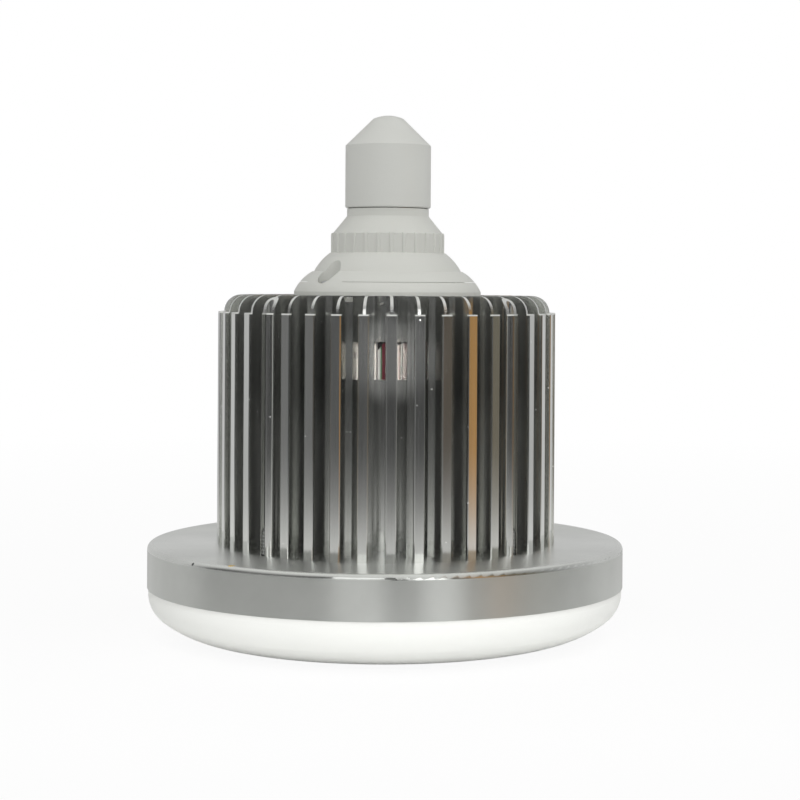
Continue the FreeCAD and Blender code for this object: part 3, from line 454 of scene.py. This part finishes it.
def fade(value, low, high):
    """Smooth step from 0 at low to 1 at high."""
    share = min(1.0, max(0.0, (value - low) / (high - low)))
    return share * share * (3 - 2 * share)


def add_screw_shell():
    """Rolled shell with a right-hand Edison thread of four turns."""
    low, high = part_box("screw_shell")
    crest, base, top = high[0], low[2], high[2]
    root, wall, pitch = crest - 0.95 * MM, 0.35 * MM, 3.62 * MM
    thread_foot, thread_end = base + 1.6 * MM, top - 3.4 * MM
    cone_foot, mouth = thread_end + 0.4 * MM, 10.6 * MM
    around, steps = 96, 88
    heights = [base + (cone_foot - base) * step / steps for step in range(steps + 1)]
    heights += [top - 2.2 * MM, top - 1.1 * MM, top]

    def radius(height, share):
        if height > cone_foot:
            rise = (height - cone_foot) / (top - cone_foot)
            return root + (mouth - root) * rise**1.2
        inside = fade(height, thread_foot - 0.9 * MM, thread_foot + 1.2 * MM)
        inside *= 1 - fade(height, thread_end - 1.6 * MM, thread_end + 0.2 * MM)
        return root + (crest - root) * inside * thread_wave((height - thread_foot) / pitch - share)

    points = []
    skins = [(0.0, heights), (wall, heights[::-1])]
    for depth, levels in skins:
        for height in levels:
            for index in range(around):
                share = index / around
                reach = radius(height, share) - depth
                angle = 2 * math.pi * share
                points.append((reach * math.cos(angle), reach * math.sin(angle), height))
    rows = 2 * len(heights)
    material = plain("plated_brass_shell", (214, 212, 206), roughness=0.2, metallic=1.0)
    part = (points, ring_faces(rows, around, closed=True))
    build_piece("screw_shell_thread", [part], material, "bulb", "screw_shell")


def screw(place, up, length):
    """Self-tapping screw with a pan head and a cross recess; place is the seat of its head."""
    shank, head = 1.25 * MM, 2.8 * MM
    pitch, depth, recess = 1.15 * MM, 0.27 * MM, 1.3 * MM
    arm_width, arm_length = (0.28 * MM, 0.48 * MM), (1.15 * MM, 1.6 * MM)  # fading out between both
    recess_level, thread_start = -1.8 * MM, (0.4 * MM, 1.4 * MM)
    least = 0.02 * MM
    around, crown_steps, shank_steps = 40, 11, 66
    crown, crown_drop = 1.9 * MM, 0.12 * MM
    profile = []
    for step in range(1, crown_steps + 1):
        share = step / crown_steps
        profile.append((crown * share, -HEAD_RISE + crown_drop * share**2))
    profile += [(2.35 * MM, -1.72 * MM), (2.64 * MM, -1.45 * MM), (head, -1.05 * MM), (head, -0.1 * MM)]
    profile += [(head - 0.1 * MM, 0.0), (shank, 0.0)]
    tip = length - 2.2 * MM
    for step in range(1, shank_steps + 1):
        height = length * step / shank_steps
        taper = 1.0 if height < tip else max(0.04, 1 - (height - tip) / (length - tip) * 0.96)
        profile.append((shank * taper, height))
    points = [(0.0, 0.0, -HEAD_RISE + recess * 0.95)]
    for reach, height in profile:
        for index in range(around):
            angle = 2 * math.pi * index / around
            x, y = math.cos(angle), math.sin(angle)
            own_reach, own_height = reach, height
            if height < recess_level:
                across = min(abs(x), abs(y)) * reach
                along = max(abs(x), abs(y)) * reach
                inside = (1 - fade(across, *arm_width)) * (1 - fade(along, *arm_length))
                own_height = height + recess * inside * (1 - 0.3 * along / arm_length[1])
            elif height > thread_start[0]:
                turns = height / pitch - index / around
                grown = fade(height, *thread_start) * min(1.0, reach / shank)
                own_reach = reach - depth * grown * (1 - thread_wave(turns) ** 3)
            own_reach = max(own_reach, least)
            points.append((own_reach * x, own_reach * y, own_height))
    rows = len(profile)
    last = 1 + (rows - 1) * around
    end = len(points)
    points.append((0.0, 0.0, length))
    faces = [tuple(index + 1 for index in face) for face in ring_faces(rows, around)]
    faces += [(0, 1 + (index + 1) % around, 1 + index) for index in range(around)]
    faces += [(last + index, last + (index + 1) % around, end) for index in range(around)]
    # Half a turn about the x axis keeps the thread right-handed
    turned = [(x, y, z) if up else (x, -y, -z) for x, y, z in points]
    return [(x + place[0], y + place[1], z + place[2]) for x, y, z in turned], faces


def add_screws():
    """Four screws up through the pan and two down into the wells of the housing."""
    steel = plain("screw_steel_thread", (190, 191, 192), roughness=0.3, metallic=1.0)
    for name, circle, first, count, length, up in (
        ("pan_screws", 55.6 * MM, 46.5, 4, 12.5 * MM, True),
        ("housing_screws", 26.9 * MM, -47.0, 2, 10.0 * MM, False),
    ):
        low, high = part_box(name)
        seat = low[2] + HEAD_RISE if up else high[2] - HEAD_RISE
        places = [around_axis(circle, first + index * 360 / count, seat) for index in range(count)]
        parts = [screw(place, up, length) for place in places]
        build_piece(name + "_threaded", parts, steel, "bulb", name)


def flake(middle, out, side, width, height, seed):
    """A torn curl of metal that clings to a wall by one edge."""
    across, down, thick = 9, 7, 0.10 * MM
    noise = random.Random(seed)
    out, side, up = Vector(out), Vector(side), Vector((0, 0, 1))
    curl = [[noise.uniform(-0.22, 0.22) * MM for column in range(across)] for row in range(down)]
    ragged = [noise.uniform(0.75, 1.1) for column in range(across)]
    points = []
    for skin in (0.0, thick):
        for row in range(down):
            for column in range(across):
                u, v = column / (across - 1) - 0.5, row / (down - 1) - 0.5
                lift = skin - thick + (0.35 * MM + curl[row][column]) * (v + 0.5)
                place = Vector(middle) + side * u * width + up * v * height * ragged[column] + out * lift
                points.append(tuple(place))
    faces = []
    under = across * down

    def at(row, column, skin):
        return row * across + column + (under if skin else 0)

    for row in range(down - 1):
        for column in range(across - 1):
            quad = [(row, column), (row, column + 1), (row + 1, column + 1), (row + 1, column)]
            faces.append(tuple(at(r, c, 1) for r, c in quad))
            faces.append(tuple(at(r, c, 0) for r, c in reversed(quad)))
    edge = [(0, column) for column in range(across)] + [(row, across - 1) for row in range(1, down)]
    edge += [(down - 1, column) for column in range(across - 2, -1, -1)]
    edge += [(row, 0) for row in range(down - 2, 0, -1)]
    for index, (row, column) in enumerate(edge):
        after = edge[(index + 1) % len(edge)]
        faces.append((at(row, column, 0), at(*after, 0), at(*after, 1), at(row, column, 1)))
    return points, faces


def grip_rib(turn, base, top):
    """One rounded upright rib on the grip band, sunk a little into it."""
    across, sunk = 9, 0.35 * MM
    levels = [(base, 1.0), (base + 2.2 * MM, 1.0), (base + 4.4 * MM, 1.0), (top - 0.6 * MM, 1.0)]
    levels += [(top - 0.2 * MM, 0.8), (top, 0.35)]
    points = []
    for level, share in levels:
        section = [(-1.0, -sunk)]
        for step in range(across):
            u = 2 * step / (across - 1) - 1
            section.append((u, RIB_HEIGHT * share * math.sqrt(max(0.0, 1 - u * u))))
        section.append((1.0, -sunk))
        for u, rise in section:
            angle = turn + u * RIB_HALF / GRIP_RADIUS
            reach = GRIP_RADIUS + rise
            points.append((reach * math.sin(angle), -reach * math.cos(angle), level))
    around = across + 2
    faces = ring_faces(len(levels), around)
    faces.append(tuple(reversed(range(around))))
    faces.append(tuple(range((len(levels) - 1) * around, len(levels) * around)))
    return points, faces


def add_grip_ribs(material):
    """Ribs all around the finger grip, a little taller than its band."""
    grip_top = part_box("base_cap")[0][2] - GRIP_DROP
    base, top = grip_top - GRIP_HEIGHT, grip_top + 0.3 * MM
    parts = []
    for index in range(RIB_COUNT):
        turn = math.radians(RIB_ANGLE + index * 360 / RIB_COUNT)
        parts.append(grip_rib(turn, base, top))
    build_piece("grip_ribs", parts, material, "bulb")


def add_flakes():
    """Two flakes left by the saw under the shoulder."""
    turn = math.radians(-16.5)
    along, right = (math.sin(turn), -math.cos(turn)), (math.cos(turn), math.sin(turn))
    wall = 0.5 * MM
    reach, level = 45.5 * MM, 0.1156
    long_one = [reach * along[axis] + wall * right[axis] for axis in (0, 1)]
    short_one, out, side = (-0.0019, -0.0299, 0.1141), (-0.06, -0.998, 0), (0.96, 0, 0.28)
    parts = [
        flake((*long_one, level), (*right, 0), (*along, 0), width=8.0 * MM, height=1.6 * MM, seed=3),
        flake(short_one, out, side, width=1.3 * MM, height=1.0 * MM, seed=8),
    ]
    material = plain("torn_aluminium", (214, 214, 208), roughness=0.5, metallic=0.0)
    build_piece("saw_flakes", parts, material, "bulb")


# Surroundings


ROOM = [
    # turn from the front in degrees, towards +X; colour of the room at the level of the bulb
    (-180, 0.56),
    (-112, 0.53),
    (-100, 0.34),
    (-90, 0.10),
    (-70, 0.155),
    (-50, 0.125),
    (-30, 0.06),
    (0, 0.038),
    (30, 0.038),
    (48, (0.10, 0.075, 0.05)),
    (52, (0.37, 0.19, 0.06)),
    (61, (0.36, 0.20, 0.065)),
    (65, (0.13, 0.095, 0.06)),
    (80, (0.13, 0.12, 0.09)),
    (95, 0.25),
    (112, 0.42),
    (130, 0.55),
    (180, 0.56),
]


def room_colour(g, x, y):
    """Colour of the room in the direction of x and y, as a socket."""
    turn = g.math("ARCTAN2", x, g.math("MULTIPLY", y, -1.0))
    share = g.math("ADD", g.math("MULTIPLY", turn, 0.5 / math.pi), 0.5)
    return g.ramp(share, [((angle + 180) / 360, color) for angle, color in ROOM])


def add_floor():
    """A pale table whose colour is painted darker towards its front edge: painted shade of the dim part
    of the room.
    """
    mesh = bpy.data.meshes.new("floor")
    half = 3.0
    mesh.from_pydata(
        [(-half, -half, 0), (half, -half, 0), (half, half, 0), (-half, half, 0)], [], [(0, 1, 2, 3)]
    )
    floor = bpy.data.objects.new("floor", mesh)
    floor.location.z = -0.0002
    scene.collection.objects.link(floor)
    material = bpy.data.materials.new("floor")
    material.use_nodes = True
    g = Graph(material.node_tree)
    g.nodes.clear()
    ahead = g.math("MULTIPLY", g.split(g.coordinates())[1], -1.0)
    # Painted shade: the table's colour darkens from 0.94 beside the bulb to 0.015 ahead of it
    tone = g.ramp(
        g.band(ahead, 0.0, 1.4), [(0.0, 0.94), (0.12, 0.85), (0.25, 0.36), (0.45, 0.10), (0.9, 0.015)]
    )
    diffuse = g.add("ShaderNodeBsdfDiffuse")
    g.put(diffuse.inputs["Color"], tone)
    x, y, _ = g.split(g.coordinates())
    reach = g.radius(x, y)
    path = g.add("ShaderNodeLightPath")
    camera, glossy = path.outputs["Is Camera Ray"], path.outputs["Is Glossy Ray"]
    # The metal shows the table fading into the room
    far = g.ramp(reach, [(0.25, 0.0), (0.36, 0.30), (0.5, 0.75), (0.8, 1.0)])
    shown = g.mix(far, (0.66, 0.66, 0.65, 1), room_colour(g, x, y))
    glow = g.add("ShaderNodeEmission")
    g.put(glow.inputs["Color"], g.mix(camera, shown, (1, 1, 1, 1)))
    mix = g.add("ShaderNodeMixShader")
    share = g.math("ADD", g.math("MULTIPLY", g.band(reach, 0.1, 0.9), 0.08), 0.92)
    share = g.math("MULTIPLY", camera, share)
    shown_share = g.math("MULTIPLY", glossy, g.band(reach, 0.08, 0.18))
    g.put(mix.inputs[0], g.math("MAXIMUM", share, shown_share))
    g.put(mix.inputs[1], diffuse.outputs[0])
    g.put(mix.inputs[2], glow.outputs[0])
    g.put(g.add("ShaderNodeOutputMaterial").inputs[0], mix.outputs[0])
    mesh.materials.append(material)


def set_world():
    """White behind the bulb and a dim room in front of it, which the bright metal shows."""
    world = bpy.data.worlds.new("studio")
    scene.world = world
    world.use_nodes = True
    g = Graph(world.node_tree)
    g.nodes.clear()
    x, y, z = g.split(g.add("ShaderNodeTexCoord").outputs["Generated"])
    level = room_colour(g, x, y)
    reflected = g.mix(g.band(z, 0.5, 0.9), level, (0.7, 0.7, 0.69, 1))
    path = g.add("ShaderNodeLightPath")
    color = g.mix(path.outputs["Is Glossy Ray"], (0.46, 0.46, 0.455, 1), reflected)
    color = g.mix(path.outputs["Is Camera Ray"], color, (1, 1, 1, 1))
    back = g.add("ShaderNodeBackground")
    g.put(back.inputs["Color"], color)
    g.put(g.add("ShaderNodeOutputWorld").inputs[0], back.outputs[0])


def set_lamps():
    """Two soft boxes that the metal shows, and keys, fills and beams that it doesn't."""
    for name, turn, width in (("front_left", -12.5, 0.36), ("front_right", 26, 0.27)):
        place = around_axis(radius=0.85, degrees=turn, height=0.38)
        add_area(name, place, target=(0, 0, 0.08), width=width, height=0.5, power=0.62, shows=True)
    for name, place, power in (
        ("key_left", (-0.35, -0.18, 0.95), 1.0),
        ("key_right", (0.42, -0.22, 0.92), 1.3),
    ):
        add_area(name, place, target=(0, 0, 0.05), width=0.40, height=0.30, power=power)
    for name, place, width, power in (
        ("fill_front", (0.2, -0.85, 0.08), 1.4, 0.42),
        ("fill_left", (-0.85, -0.1, 0.07), 1.0, 0.35),
        ("fill_right", (0.85, -0.1, 0.12), 1.0, 0.6),
        ("fill_middle", (-0.03, -0.76, 0.16), 0.12, 0.6),
    ):
        height = min(width, 0.2)
        add_area(name, place, target=(0, 0, 0.09), width=width, height=height, power=power)
    # Narrow beams reach through the fins into the slots of the core
    for name, turn in (("slot_left", -2.6), ("slot_middle", 1.2), ("slot_right", 6.2)):
        place = around_axis(radius=0.78, degrees=turn, height=0.16)
        add_beam(name, place, target=(0, 0, 0.093), power=30, cone=2.2, size=0.003)
    # The table in front lights the dish from below
    add_beam("table", place=(0, -0.5, 0.6), target=(0, -0.15, 0), power=4.2, cone=26, size=0.05)


add_camera()
set_materials()
add_screw_shell()
add_screws()
add_grip_ribs(nodes["driver_housing"].data.materials[0])
add_flakes()
add_floor()
set_world()
set_lamps()

scene.view_settings.view_transform = "Standard"
